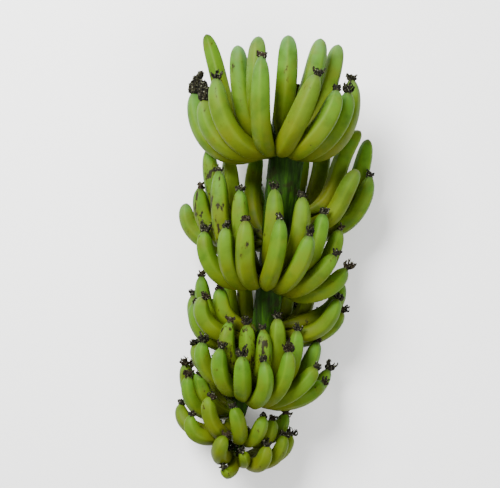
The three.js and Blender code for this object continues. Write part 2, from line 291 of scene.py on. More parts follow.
# %% A finger with nothing in its way
class Finger:
    def __init__(self, hand, row, index):
        spread, count = hand[row], len(hand[row]["tips"])
        angle = spread["from"] + (spread["to"] - spread["from"]) * (index + 0.5) / count
        y = seat_at(hand, angle) + ROW_LIFT[row]
        out = outward(angle)
        root = stem_at(y) + out * (stem_radius(y) - PEDICEL_SINK)
        tip_angle, reach, rise, *more = spread["tips"][index]
        lean = math.radians(more[0] if more else hand["lean"])
        tip_out = outward(tip_angle)
        end = stem_at(hand["level"]) + tip_out * reach
        end[1] = hand["level"] + rise
        elevation = math.radians(ROW_ELEVATION[row])
        start = out * math.cos(elevation) + np.array([0, math.sin(elevation), 0])
        finish = -tip_out * math.sin(lean) + np.array([0, math.cos(lean), 0])
        across = math.hypot(end[0] - root[0], end[2] - root[2])
        up = abs(end[1] - root[1])
        self.handles = np.array([root, root + start * (BEND_START * across + BEND_LIFT * up),
                                 end - finish * BEND_FINISH * up, end])
        self.steps = np.linspace(0, 1, 201)
        path = self.bezier(self.steps)
        lengths = np.concatenate([[0], np.cumsum(np.linalg.norm(np.diff(path, axis=0), axis=1))])
        self.length, self.shares = lengths[-1], lengths / lengths[-1]
        self.hand, self.row, self.index = hand, row, index
        self.flower = more[1] if len(more) > 1 else spread["flower"]
        plump = more[2] if len(more) > 2 else 1
        self.girth = hand["girth"] * plump * (1 + GIRTH_VARIES * draw())
        self.roll = ROLL_VARIES * draw()
        self.tip_push, self.belly_push = np.zeros(3), np.zeros(3)

    def bezier(self, t):
        t = np.asarray(t, float)[:, None]
        p = self.handles
        return (1 - t)**3 * p[0] + 3 * (1 - t)**2 * t * p[1] + 3 * (1 - t) * t**2 * p[2] + t**3 * p[3]

    def free(self, s):
        """Its centre line at shares of its length, before its neighbours push it."""
        return self.bezier(np.interp(s, self.shares, self.steps))

    def at(self, s):
        s = np.asarray(s, float)
        pushed = np.outer(tip_share(s), self.tip_push) + np.outer(belly_share(s), self.belly_push)
        return self.free(s) + pushed


def tip_share(s):
    """How far a point follows when the tip is pushed."""
    return s * s * (3 - 2 * s)


def belly_share(s):
    """How far a point follows when the belly is pushed. The pedicel and the tip stay."""
    return 6.75 * s * s * (1 - s)


# %% [markdown]
# ## All of them
# The fingers grow in the order of the tables, hand by hand and the outer row first. The model does the
# same, so that both use the same draws.

# %% All the fingers
fingers = [Finger(hand, row, i) for hand in HANDS for row in ("outer", "inner") if row in hand
           for i in range(len(hand[row]["tips"]))]
lengths = [finger.length for finger in fingers]
print("fingers from", round(min(lengths)), "to", round(max(lengths)), "mm long")

# %% [markdown]
# ## The fingers settle against each other
# In a real bunch the fingers swell until they press on their neighbours. A physics simulation could press
# them together, but it is slow and hard to repeat. Here each finger is treated as a row of balls, which are
# quick to test against each other. Near their pedicels the fingers of one hand may overlap, because they
# grow from one cushion.

# %% Balls, and the pairs of them that may meet
BALLS = 13  # on a finger, and one more on its dried flower
FLOWER_BALL_AT, FLOWER_BALL_GIRTH = 0.75, 0.46  # shares of the flower's length and of the finger's girth
SAME_HAND_GAP, OTHER_HAND_GAP, STEM_GAP = -1, 3.2, 2  # fingers of one hand press on each other
NEAR = 45  # balls with more than this between them can't meet
MEET_FROM, CLEAR_FROM = 0.42, 0.35  # shares of the length past which its hand and the stem push a finger


def balls_along(finger):
    """The balls' shares of its length, places and radii, and how far they follow its two pushes."""
    s = np.arange(1, BALLS + 1) / BALLS
    places = finger.free(s)
    radii = finger.girth * curve_through(FINGER_PROFILE, s, 1)
    tips, bellies = tip_share(s), belly_share(s)
    if finger.flower:
        end = finger.handles[3]
        along = unit(end - finger.handles[2])
        places = np.vstack([places, end + along * finger.flower * FLOWER_BALL_AT])
        s, radii = np.append(s, 1), np.append(radii, finger.girth * FLOWER_BALL_GIRTH)
        tips, bellies = np.append(tips, 1), np.append(bellies, 0)
    return s, places, radii, tips, bellies


def pairs_that_may_meet(owner, share, places, radius):
    """The two balls of each pair, and how far apart their middles must be."""
    hand = np.array([HANDS.index(finger.hand) for finger in fingers])[owner]
    a, b = np.triu_indices(len(owner), 1)
    same = hand[a] == hand[b]
    need = radius[a] + radius[b] + np.where(same, SAME_HAND_GAP, OTHER_HAND_GAP)
    meet = (owner[a] != owner[b]) & ~(same & (np.minimum(share[a], share[b]) < MEET_FROM))
    meet &= np.linalg.norm(places[a] - places[b], axis=1) < need + NEAR
    return a[meet], b[meet], need[meet]


print(sum(len(balls_along(finger)[0]) for finger in fingers), "balls")

# %% [markdown]
# ## Many small pushes
# Wherever two balls overlap, both fingers bend a little, and the floor and the stem push too. All fingers
# move at once, by small steps, so none is favoured, and in the end they lie side by side.

# %% Bend the fingers clear of each other
SETTLE_STEPS, MOST_PUSH = 160, 20
STIFFNESS = 0.3  # against the balls that push a finger


def pushes(at, share, radius, pairs):
    """How each ball is pushed by the floor, by the stem and by the balls it overlaps."""
    a, b, need = pairs
    push = np.zeros_like(at)
    push[:, 2] += np.maximum(radius - at[:, 2], 0)
    away = at - stem_at(at[:, 1])
    away[:, 1] = 0
    gap = np.linalg.norm(away, axis=1)
    close = np.where(share > CLEAR_FROM, np.maximum(stem_radius(at[:, 1]) + radius + STEM_GAP - gap, 0), 0)
    push += away / np.maximum(gap, 1e-6)[:, None] * close[:, None]
    line = at[b] - at[a]
    apart = np.linalg.norm(line, axis=1)
    over = np.maximum(need - apart, 0) / 2
    line *= (over / np.maximum(apart, 1e-6))[:, None]
    np.add.at(push, a, -line)
    np.add.at(push, b, line)
    return push


def settle(fingers):
    found = [balls_along(finger) for finger in fingers]
    owner = np.repeat(np.arange(len(fingers)), [len(balls[0]) for balls in found])
    share, rest, radius, tip, belly = (np.concatenate(kept) for kept in zip(*found))
    pairs = pairs_that_may_meet(owner, share, rest, radius)
    tips, bellies = np.zeros((len(fingers), 3)), np.zeros((len(fingers), 3))
    for _ in range(SETTLE_STEPS):
        at = rest + tips[owner] * tip[:, None] + bellies[owner] * belly[:, None]
        push = pushes(at, share, radius, pairs)
        pushed = (push != 0).any(axis=1)
        weight = STIFFNESS + np.bincount(owner, np.where(pushed, tip**2 + belly**2, 0), len(fingers))
        for moved, part in ((tips, tip), (bellies, belly)):
            total = np.zeros_like(moved)
            np.add.at(total, owner, push * part[:, None])
            moved += total / weight[:, None]
            size = np.linalg.norm(moved, axis=1)
            moved *= np.minimum(1, MOST_PUSH / np.maximum(size, 1e-9))[:, None]
    for finger, tip_push, belly_push in zip(fingers, tips, bellies):
        finger.tip_push, finger.belly_push = tip_push, belly_push


settle(fingers)
print("largest bend", round(max(float(np.linalg.norm(finger.tip_push)) for finger in fingers), 1), "mm")

# %% [markdown]
# ## Bending a straight template
# Every round piece here starts as a straight cylinder from bmesh, cut into rings. A curve with a bevel
# could make the pieces too, but its section is the same all along. The rings of a template can each have a
# radius and a section of their own. A template is made once and used for every piece with as many rings and
# sides.

# %% Straight templates
templates = {}


def template(sides, rings):
    """A closed cylinder of unit radius, and for each vertex the number of its ring and its angle round it."""
    if (sides, rings) not in templates:
        bm = bmesh.new()
        bmesh.ops.create_cone(bm, cap_ends=True, segments=sides, radius1=1, radius2=1, depth=rings - 1)
        uprights = [e for e in bm.edges if abs(e.verts[0].co.z - e.verts[1].co.z) > 0.5]
        bmesh.ops.subdivide_edges(bm, edges=uprights, cuts=rings - 2, use_grid_fill=False)
        mesh = bpy.data.meshes.new("template")
        bm.to_mesh(mesh)
        bm.free()
        places = np.zeros(len(mesh.vertices) * 3)
        mesh.vertices.foreach_get("co", places)
        places = places.reshape(-1, 3)
        ring = np.rint(places[:, 2] + (rings - 1) / 2).astype(int)
        templates[sides, rings] = (mesh, ring, np.arctan2(places[:, 1], places[:, 0]))
    return templates[sides, rings]


print("a template has", len(template(12, 9)[1]), "vertices for 12 sides and 9 rings")

# %% [markdown]
# ## The bend itself
# Each ring of a template is carried onto a point of a centre line and turned square to it. It takes its
# frame on from the ring before it. A frame worked out afresh for each ring could flip over and twist the
# surface.

# %% The bend
def frames_along(centres, side):
    """The across and over directions of each ring, carried along from side."""
    across, found = np.array(side, float), []
    for i in range(len(centres)):
        along = unit(centres[min(i + 1, len(centres) - 1)] - centres[max(i - 1, 0)])
        across = unit(across - along * across.dot(along))
        found.append((across, np.cross(along, across)))
    return np.array([f[0] for f in found]), np.array([f[1] for f in found])


def bent(centres, wide, deep, sides, side):
    """The places of a template's vertices once its rings lie on centres.
    wide and deep are the section's two radii, for each ring, or worked out from the ring and the angle."""
    mesh, ring, angle = template(sides, len(centres))
    across, over = frames_along(centres, side)
    wide = wide(ring, angle) if callable(wide) else np.asarray(wide)[ring]
    deep = deep(ring, angle) if callable(deep) else np.asarray(deep)[ring]
    return (centres[ring] + across[ring] * (wide * np.cos(angle))[:, None]
            + over[ring] * (deep * np.sin(angle))[:, None])


# %% [markdown]
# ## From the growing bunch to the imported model
# The model was moved after its fingers had grown, so that its box stands in the middle of the frame. The
# stem is the one piece that its neighbours don't push. A coarse stem like the model's is bent here, and the
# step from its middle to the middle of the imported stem's box is the step for everything.

# %% Where the frame lies
MODEL_STEM_STEP, MODEL_STEM_SIDES = 28, 12  # between the rings of the model's stem, and round it
stem_steps = round((STEM[0][0] - STEM[-1][0]) / MODEL_STEM_STEP)
stem_ys = np.linspace(STEM[0][0], STEM[-1][0], stem_steps + 1)
coarse = bent(stem_at(stem_ys), stem_radius(stem_ys), stem_radius(stem_ys), MODEL_STEM_SIDES, (1, 0, 0))
box_middle = (np.array(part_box("stem")[0]) + np.array(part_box("stem")[1])) * 500  # half the sum, in millimetres
MIDDLE = box_middle - (coarse.min(axis=0) + coarse.max(axis=0)) / 2
MIDDLE[2] = -FLOOR_LEVEL
print("frame is moved by", MIDDLE.round(2), "mm")

# %% [markdown]
# ## Gathering many small shells into one piece
# A hand has many fingers, but it is one piece of the object. Each finger is a closed shell of its own, and
# bmesh reads them one after another into a single mesh. They could be fused, but that would cost many faces
# where nothing is seen. Numbers kept on the vertices tell the finish how far along its finger a point is,
# how near a ridge it is, how pale and how worn its finger is, and a draw that all the points of one finger
# share.

# %% Pieces made of many shells
def place(points):
    """From millimetres where the bunch grows to metres in the frame, pressed flat at the model's own box."""
    moved = (np.array(points, float) + MIDDLE) / 1000
    return np.clip(moved, cad_box[0], cad_box[1])


class Gathered:
    def __init__(self):
        self.bm, self.marks = bmesh.new(), {}

    def add(self, points, sides, rings, **marks):
        mesh = template(sides, rings)[0]
        mesh.vertices.foreach_set("co", place(points).ravel())
        self.bm.from_mesh(mesh)
        for name, values in marks.items():
            self.marks.setdefault(name, []).append(np.broadcast_to(values, len(points)))

    def finish(self, name, material, *nodes, slot):
        mesh = bpy.data.meshes.new(name)
        bmesh.ops.recalc_face_normals(self.bm, faces=self.bm.faces)
        self.bm.to_mesh(mesh)
        self.bm.free()
        for mark, values in self.marks.items():
            kept = mesh.attributes.new(mark, "FLOAT", "POINT")
            kept.data.foreach_set("value", np.concatenate(values).astype(np.float32))
        mesh.polygons.foreach_set("use_smooth", [True] * len(mesh.polygons))
        mesh.materials.append(material)
        piece = bpy.data.objects.new(name, mesh)
        bpy.context.scene.collection.objects.link(piece)
        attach(piece, "root")
        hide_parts(*nodes)
        print(name, len(mesh.polygons), "faces")


# %% [markdown]
# ## Colours and nodes
# Colours are written as a screen shows them, so one function turns them into the linear values that shaders
# use. A second one adds a node with its settings and its links in a single line, which keeps the finishes
# short enough to read. Ramps and mixes are the two ways in which they change a colour.

# %% Paint, nodes, ramps and mixes
def paint(code):
    values = [int(code[i:i + 2], 16) / 255 for i in (1, 3, 5)]
    return [v / 12.92 if v <= 0.04045 else ((v + 0.055) / 1.055)**2.4 for v in values] + [1]


def add_node(tree, kind, links=None, values=None, **settings):
    """Adds a node. links joins its inputs to other nodes' outputs, and values sets its inputs."""
    node = tree.nodes.new(kind)
    for key, value in settings.items():
        setattr(node, key, value)
    for key, value in (values or {}).items():
        node.inputs[key].default_value = value
    for key, source in (links or {}).items():
        tree.links.new(source, node.inputs[key])
    return node


def ramp(tree, source, stops):
    """A colour that runs through the stops, each a place from 0 to 1 and a colour."""
    node = add_node(tree, "ShaderNodeValToRGB", {"Fac": source})
    while len(node.color_ramp.elements) < len(stops):
        node.color_ramp.elements.new(0.5)
    for element, (at, code) in zip(node.color_ramp.elements, stops):
        element.position, element.color = at, paint(code)
    return node.outputs["Color"]


def mix(tree, share, under, over):
    """The colour under, with a share of the colour over."""
    node = add_node(tree, "ShaderNodeMix", data_type="RGBA")
    for socket, value in ((node.inputs[0], share), (node.inputs[6], under), (node.inputs[7], over)):
        if isinstance(value, (float, int, list)):
            socket.default_value = value
        else:
            tree.links.new(value, socket)
    return node.outputs[2]


print("deep green", [round(v, 3) for v in paint("#3d5a14")])

# %% [markdown]
# ## Masks
# A mask says where a colour goes, from 0 to 1. Real peel is marked by chance and by place, so a mask is
# made of noise, or of a number kept on the vertices, or of both. The noise sits in the piece's own space
# and needs no unwrapping.

# %% Noise, limits, products and marks
def noise(tree, scale, detail=3.0, stretch=(1, 1, 1), rough=0.5):
    """Noise on the piece's own coordinates. scale is how many features fit in a metre."""
    where = add_node(tree, "ShaderNodeTexCoord").outputs["Object"]
    moved = add_node(tree, "ShaderNodeMapping", {"Vector": where}, {"Scale": stretch}).outputs["Vector"]
    return add_node(tree, "ShaderNodeTexNoise", {"Vector": moved},
                    {"Scale": scale, "Detail": detail, "Roughness": rough}).outputs["Fac"]


def between(tree, value, low, high):
    """0 below low, 1 above high, and smooth between them."""
    return add_node(tree, "ShaderNodeMapRange", {"Value": value}, {"From Min": low, "From Max": high},
                    interpolation_type="SMOOTHSTEP").outputs["Result"]


def times(tree, a, b):
    """a times b, where b is a number or another node's output."""
    node = add_node(tree, "ShaderNodeMath", {0: a}, operation="MULTIPLY")
    if isinstance(b, (float, int)):
        node.inputs[1].default_value = b
    else:
        tree.links.new(b, node.inputs[1])
    return node.outputs[0]


def mark(tree, name):
    """One of the numbers kept on the vertices."""
    return add_node(tree, "ShaderNodeAttribute", attribute_name=name).outputs["Fac"]


print("helpers for masks: noise, between, times and mark")

# %% [markdown]
# ## A finish and its fine relief
# Each finish is one principled shader, because that one has every soft shine that fruit needs and can be
# exported. Relief too small for the mesh, such as pores and fibres, is a bump: it only tilts the light.

# %% New finishes and bumps
def finish_named(name, roughness, **sockets):
    """A new finish, with its nodes and its shader."""
    material = bpy.data.materials.new(name)
    material.use_nodes = True
    shader = material.node_tree.nodes["Principled BSDF"]
    shader.inputs["Roughness"].default_value = roughness
    for socket, value in sockets.items():
        shader.inputs[socket.replace("_", " ")].default_value = value
    return material, material.node_tree, shader


def bump(tree, shader, height, distance, strength=1.0):
    made = add_node(tree, "ShaderNodeBump", {"Height": height}, {"Distance": distance, "Strength": strength})
    tree.links.new(made.outputs["Normal"], shader.inputs["Normal"])


print("finishes so far:", len(bpy.data.materials))

# %% [markdown]
# ## Green peel
# Full green bananas are yellow-olive near the pedicel, where they hung in the shade, and fresher green
# towards the tip. The wax scatters the light, so the shine is broad and weak. The peel has soft cloudy
# patches, fine dark dots, and brown scars where neighbours and dried flowers rubbed. The ridges are a
# little paler. Over it all lies a thin pale bloom of wax. The peel could be painted on by hand, but there
# are about a hundred fingers, and masks give each of them its own marks.

# %% The peel's finish
peel, tree, shader = finish_named("banana_peel_wax", 0.5, Specular_IOR_Level=0.06)
along, ridge, pick, pale, worn = (mark(tree, name) for name in ("along", "ridge", "pick", "pale", "worn"))
green = ramp(tree, along, [(0.0, "#242f02"), (0.14, "#3a4200"), (0.3, "#4a4f00"), (0.5, "#4a5800"),
                           (0.72, "#436000"), (0.95, "#3f6703"), (1.0, "#232f08")])
# A paler, bluer green for the rows that are paler. On hand_2's outer row it is painted shade: the bluish green
# those fingers show where they lie in shadow.
pale_and_shaded_green = ramp(tree, along, [(0.0, "#2f3d06"), (0.3, "#485502"), (0.6, "#466707"), (0.85, "#446e1f"),
                            (1.0, "#47703f")])
skin = mix(tree, pale, green, pale_and_shaded_green)

# Deep green and olive clouds, fingers that ripen sooner than others, and paler ridges.
skin = mix(tree, between(tree, noise(tree, 38, 4), 0.4, 0.72), skin, mix(tree, 0.6, skin, paint("#284602")))
skin = mix(tree, times(tree, between(tree, noise(tree, 23, 3), 0.45, 0.7), 0.4), skin, paint("#555500"))
skin = mix(tree, times(tree, between(tree, pick, 0.45, 1.0), 0.3), skin, paint("#515300"))
skin = mix(tree, times(tree, between(tree, ridge, 0.6, 1.0), 0.16), skin, paint("#62760f"))

# Fine dots, then scars that are brown at the rim and nearly black in the middle, then the bloom.
dots = between(tree, noise(tree, 1300, 1), 0.69, 0.76)
skin = mix(tree, times(tree, dots, 0.45), skin, paint("#272105"))
rough = noise(tree, 75, 6, (1, 0.5, 1), 0.66)
rubbed = add_node(tree, "ShaderNodeMath", {0: rough, 1: worn}, operation="ADD").outputs[0]
skin = mix(tree, times(tree, between(tree, rubbed, 0.62, 0.68), 0.5), skin, paint("#3c2f08"))
skin = mix(tree, times(tree, between(tree, rubbed, 0.67, 0.7), 0.92), skin, paint("#150c04"))
skin = mix(tree, 0.02, skin, paint("#808674"))
tree.links.new(skin, shader.inputs["Base Color"])
bump(tree, shader, noise(tree, 210, 3), 0.0005, 0.4)
print(peel.name, "has", len(tree.nodes), "nodes")

# %% [markdown]
# ## Dried flowers
# A banana flower dries on the tip of its finger and turns into a black-brown tuft with grey, papery edges.
# It doesn't shine. In plain black it would look like a hole in the picture. Noise at the scale of the
# shreds sorts dark from grey, and a broad one browns some of the flowers.

# %% The dried flowers' finish
dry, tree, shader = finish_named("dried_flower", 0.9, Specular_IOR_Level=0.15)
tone = ramp(tree, noise(tree, 330, 5), [(0.36, "#050503"), (0.48, "#111007"), (0.57, "#272413"),
                                        (0.64, "#41442f"), (0.7, "#868777")])
tone = mix(tree, times(tree, between(tree, noise(tree, 16, 1), 0.5, 0.6), 0.3), tone, paint("#2e1d0c"))
tree.links.new(tone, shader.inputs["Base Color"])
bump(tree, shader, noise(tree, 900, 3), 0.0008)
print(dry.name, "has", len(tree.nodes), "nodes")

# %% [markdown]
# ## The stem's skin
# The stem is very dark green and fibrous, with streaks that run along it and brown blots where leaf bases
# fell away. The fibres could be modelled, but from two metres they are only colour and a fine bump.
# Stretched noise gives the streaks. The cut end is pale, wet and browning. The skin just below it is
# painted part of the way to that colour: painted light on the stem's top, which lies in shade among the fingers.

# %% The stem's finish
bark, tree, shader = finish_named("stem_skin", 0.7, Specular_IOR_Level=0.06)
streaks = ramp(tree, noise(tree, 150, 5, (1, 0.06, 1)),
               [(0.32, "#0f1d04"), (0.55, "#1b3406"), (0.76, "#2f520b")])
blots = between(tree, noise(tree, 30, 5), 0.56, 0.66)
skin = mix(tree, times(tree, blots, 0.6), streaks, paint("#1b1409"))
pith_and_painted_light = ramp(tree, noise(tree, 260, 3), [(0.35, "#3a2e12"), (0.55, "#6b5a2c"), (0.7, "#857745")])
# The cut face is pale pith. Near it the skin takes a share of the same colour, which is painted light where the
# stem's top lies in shade.
skin = mix(tree, mark(tree, "cut"), skin, pith_and_painted_light)
tree.links.new(skin, shader.inputs["Base Color"])
bump(tree, shader, noise(tree, 260, 4, (1, 0.1, 1)), 0.0016)
print(bark.name, "has", len(tree.nodes), "nodes")

# %% [markdown]
# ## The stem
# The stem is as thick as a wrist at the cut end and as a thumb at the other. It is a long cylinder carried
# onto its centre line. Low ribs run along it, and a ledge crosses it at each old scar. They are in the
# shape and not only in the finish, because they show at its edges. It closes in four rings at the cut end,
# and narrows over its last three rings at the thin end.

# %% The stem's surface
STEM_SIDES, STEM_RINGS = 60, 240
CUT_RINGS = [(0.4, 0.96), (1.0, 0.8), (0.2, 0.45), (1.2, 0.02)]  # mm below the cut, and share of the radius
THIN_END = [0.9, 0.6, 0.2]  # share of the radius at the last rings
BARE = 0.972  # the skin's share of the radius between the ribs and ledges, which rise to the model's surface
RIBS = [(0.014, 5, 0.011), (0.008, 11, -0.017)]  # height as a share of the radius, count, and turn in a mm
LEDGE_HEIGHT, LEDGE_STEP, LEDGE_WIDTH, LEDGE_SLANT = 0.012, 52, 6, 9  # a share of the radius, then mm
PAINTED_LIGHT_REACH, PAINTED_LIGHT_SHARE = 34, 0.5  # painted light on the skin below the cut, which lies in shade: as far as this, and by this much

ys = np.linspace(STEM[0][0] - CUT_RINGS[0][0], STEM[-1][0], STEM_RINGS)
below, shares = np.array(CUT_RINGS[::-1]).T
centres = np.vstack([stem_at(STEM[0][0] - below), stem_at(ys)])
radii = np.concatenate([stem_radius(STEM[0][0]) * shares, stem_radius(ys)])
radii[-len(THIN_END):] *= THIN_END


def stem_girth(ring, angle):
    y = centres[ring, 1]
    ribs = sum(height * np.sin(count * angle + y * turn) for height, count, turn in RIBS)
    ledges = LEDGE_HEIGHT * (np.mod(y + LEDGE_SLANT * np.sin(angle + 1), LEDGE_STEP) < LEDGE_WIDTH)
    return radii[ring] * (BARE + ribs + ledges)


stem = Gathered()
ring = template(STEM_SIDES, len(centres))[1]
# Painted light: the skin is paler for the first millimetres below the cut, where the stem lies in shade.
painted_light_near_cut = PAINTED_LIGHT_SHARE * np.clip(1 - (STEM[0][0] - centres[ring, 1]) / PAINTED_LIGHT_REACH, 0, 1)
stem.add(bent(centres, stem_girth, stem_girth, STEM_SIDES, (1, 0, 0)), STEM_SIDES, len(centres),
         cut=np.where(ring < len(CUT_RINGS), 1.0, painted_light_near_cut))
stem.finish("stem_skin", bark, "stem", slot="stem")

# %% [markdown]
# ## How the fingers differ
# Some rows are paler than others, some fingers are scarred, and the lowest hands never reach the tip's
# fresh green. Two places are given the colour of the shade they lie in, which is painted shade: hand_2's
# outer row a bluish green, and hand_1's first inner finger a darker green. Chance alone would put the
# scars on the wrong fingers. So these tables hold what the photograph shows, by hand and row, or by hand,
# row and finger.

# %% What the photograph shows of single rows and fingers
# Painted shade: hand_2's outer row is given the bluish green of the shadow it lies in, and hand_1's first inner
# finger (0.0) the darker green of its shade.
PALE_AND_SHADED = {("hand_1", "outer"): 0.4, ("hand_1", "inner"): 0.95, ("hand_1", "inner", 0): 0.0,
        ("hand_2", "outer"): 0.45, ("hand_2", "outer", 8): 0.0, ("hand_3", "inner"): 0.2}
USUALLY_PALE = 0.14
WORN = {("hand_3", "inner", 0): 0.115, ("hand_3", "inner", 1): 0.06, ("hand_2", "inner", 7): 0.08,
        ("hand_5", "inner", 0): 0.09, ("hand_5", "inner", 1): 0.11, ("hand_5", "inner", 2): 0.1,
        ("hand_2", "outer", 8): 0.09}
FULLER = {("hand_1", "inner", 0): 1.14}  # times the model's girth
OLIVE = {"hand_7": 0.85, "hand_8": 0.62}  # how far towards the tip's fresh green a hand's peel goes


def setting(table, finger, usual):
    """A finger's own number from a table, or else its row's, or else the usual one."""
    row = (finger.hand["name"], finger.row)
    return table.get(row + (finger.index,), table.get(row, usual))


print(len(WORN), "worn fingers and", len(OLIVE), "olive hands")

# %% [markdown]
# ## A finger's surface
# A banana isn't round: three to five ridges run along it. They could be painted on, but they bend the long
# highlights, so they are in the shape: the section is a circle blended with a five-sided one. The rings lie
# closer at the pedicel and the tip, where the girth changes fast. A finger that has lost its dried flower
# narrows to a round tip.

# %% The fingers' section, rings and tips
FINGER_SIDES, FINGER_RINGS = 30, 42
NOSE = [(1.4, 0.9), (2.6, 0.7), (3.4, 0.4), (3.8, 0.08)]  # mm past the tip, and share of the tip's radius
BARE_NOSE = 0.1  # how much of that length the nose of a finger without its flower has
RIDGES, RIDGE_REACH, RIDGE_SHARE = 5, 1.08, 0.46  # how many, how high, and how much of the section is theirs
RIDGE_FROM, RIDGE_RISE = 0.08, 0.2  # shares of the length: where the ridges begin, and how long they rise
ROUND_FROM = 0.77  # a finger without its flower narrows from this share of its length to its round tip
ROUND_GIRTH, ROUND_TAPER = 0.985, 0.18
steps = np.linspace(0, 1, FINGER_RINGS)
SPREAD = steps - 0.09 * np.sin(2 * np.pi * steps)  # the rings' places along the finger


def ridge_at(angle, roll):
    """How near a point is to a ridge, from 0 to 1, and the radius of the five-sided section there."""
    part = 2 * math.pi / RIDGES
    off = np.mod(angle - math.pi / 2 - roll, part) - part / 2
    return np.abs(off) / (part / 2), RIDGE_REACH * math.cos(part / 2) / np.cos(off)


def finger_path(finger):
    """Its rings' middles and radii, the way its belly faces, and the way its tip points."""
    body = finger.at(SPREAD)
    along = unit(body[-1] - finger.at([0.94])[0])
    nose_length = 1 if finger.flower else BARE_NOSE
    nose = body[-1] + along * np.array([n[0] for n in NOSE])[:, None] * nose_length
    girth = finger.girth * curve_through(FINGER_PROFILE, SPREAD, 1)
    if not finger.flower:
        past = np.clip((SPREAD - ROUND_FROM) / (1 - ROUND_FROM), 0, 1)
        rounded = ROUND_GIRTH * finger.girth * (1 - ROUND_TAPER * past) * (1.02 - past**4)**0.5
        girth = np.where(past > 0, rounded, girth)
    girth = np.concatenate([girth, girth[-1] * np.array([n[1] for n in NOSE])])
    girth *= setting(FULLER, finger, 1)
    side = np.cross(finger.at([0.44])[0] - body[0], along)
    return np.vstack([body, nose]), girth, unit(side), along


print("rings closest together:", round(float(np.diff(SPREAD).min()), 4), "of a finger's length")

# %% [markdown]
# ## The fingers and their cushions
# Each finger gets a slight swell and waist of its own, as no two bananas are alike. The cushion is the
# woody pad that the pedicels grow from. It is only seen between them, so a bent cylinder laid round the
# stem is enough, with low lumps along it.

# %% A finger and a cushion
CUSHION_SIDES, CUSHION_RINGS, CUSHION_OVERLAP = 18, 44, 4  # it reaches so many degrees past its pedicels
CUSHION_HALF_WIDTH, CUSHION_HALF_DEPTH = {1: 10, 2: 17}, 8  # along the stem for one row or two, and outward


def add_finger(piece, finger):
    centres, girth, side, _ = finger_path(finger)
    share = np.concatenate([SPREAD, np.ones(len(NOSE))])
    wobble = 2 * math.pi * draw()

    def section(ring, angle):
        _, angular = ridge_at(angle, finger.roll)
        sharp = RIDGE_SHARE * np.clip((share[ring] - RIDGE_FROM) / RIDGE_RISE, 0, 1)
        swell = 1 + 0.012 * np.sin(9 * share[ring] + wobble) + 0.01 * np.sin(2 * angle + wobble)
        return girth[ring] * ((1 - sharp) * 0.985 + sharp * angular) * swell

    _, ring, angle = template(FINGER_SIDES, len(centres))
    piece.add(bent(centres, section, section, FINGER_SIDES, side), FINGER_SIDES, len(centres),
              along=share[ring] * OLIVE.get(finger.hand["name"], 1),
              ridge=ridge_at(angle, finger.roll)[0], pick=(draw() + 1) / 2,
              pale=setting(PALE_AND_SHADED, finger, USUALLY_PALE), worn=setting(WORN, finger, 0.0) + 0.015 * draw())


def add_cushion(piece, hand):
    start, end = cushion_ends(hand)
    rows = 2 if "inner" in hand else 1
    t = np.linspace(0, 1, CUSHION_RINGS)
    angles = start - CUSHION_OVERLAP + (end - start + 2 * CUSHION_OVERLAP) * t
    ys = np.array([seat_at(hand, angle) + ROW_LIFT["inner"] * (rows - 1) / 2 for angle in angles])
    centres = stem_at(ys) + np.array([outward(a) for a in angles]) * (stem_radius(ys) + 0.5)[:, None]
    full = np.minimum(1, 0.5 + 3 * np.minimum(t, 1 - t))
    lumps = 1 + 0.07 * np.sin(np.radians(angles) * 9)
    wide, deep = CUSHION_HALF_WIDTH[rows] * full * lumps, CUSHION_HALF_DEPTH * full * lumps
    piece.add(bent(centres, wide, deep, CUSHION_SIDES, (0, 1, 0)), CUSHION_SIDES, CUSHION_RINGS,
              along=0.05, ridge=0.0, pick=0.3, pale=0.0, worn=0.02)


print("cushions of", CUSHION_SIDES * CUSHION_RINGS, "vertices")

# %% [markdown]
# ## Eight hands
# Each hand is gathered in turn: first its cushion, then its fingers in the order in which they grew. It
# takes the place of the hand's coarse solid.

# %% The hands
for hand in HANDS:
    piece = Gathered()
    add_cushion(piece, hand)
    for finger in fingers:
        if finger.hand is hand:
            add_finger(piece, finger)
    piece.finish(hand["name"] + "_fingers", peel, hand["name"], slot="peel")

# %% [markdown]
# ## The dried flowers
# Each flower is a rough stub on the finger's tip with thin shreds that curl off it. Hair could draw the
# shreds, but it isn't a surface of the piece and can't be exported. So a shred is a small bent cylinder,
# with few faces because there are many hundreds of them.

# %% One shred
SHRED_SIDES, SHRED_RINGS = 5, 6


def add_shred(piece, foot, out, along, sway, size, width):
    """A thin dry strip that leaves foot outward and curls over, along its finger and to one side."""
    u = np.linspace(0, 1, SHRED_RINGS)
    path = (foot + np.outer(np.sin(u * 2) * size * 0.6, out) + np.outer(u * size * 0.8, along)
            + np.outer(np.sin(u * 3) * size * 0.7, sway))
    piece.add(bent(path, width * (1 - 0.5 * u), 0.5 * width * (1 - 0.5 * u), SHRED_SIDES, along),
              SHRED_SIDES, SHRED_RINGS)


print("a shred has", len(template(SHRED_SIDES, SHRED_RINGS)[1]), "vertices")

# %% [markdown]
# ## Tufts and clusters
# Most flowers have dried to a short tuft with a few long shreds. On the top hand's two left fingers they
# are still whole and plump, with many short shreds all over. One function makes both kinds from two tables,
# because they differ only in their measures.

# %% Stubs with their shreds
STUB_SIDES = 12
TUFT = {"rings": 9, "plump": 0.4, "taper": 0.42, "shreds": 15, "width": 2.4}
CLUSTER = {"rings": 15, "plump": 0.68, "taper": 0.5, "shreds": 120, "width": 3}
WHOLE_FROM = 20  # a flower longer than this is a whole cluster
CLUSTER_LEANS, CLUSTER_RISE = [0.42, -0.02], 0.1  # to the side and up, as shares of the clusters' length


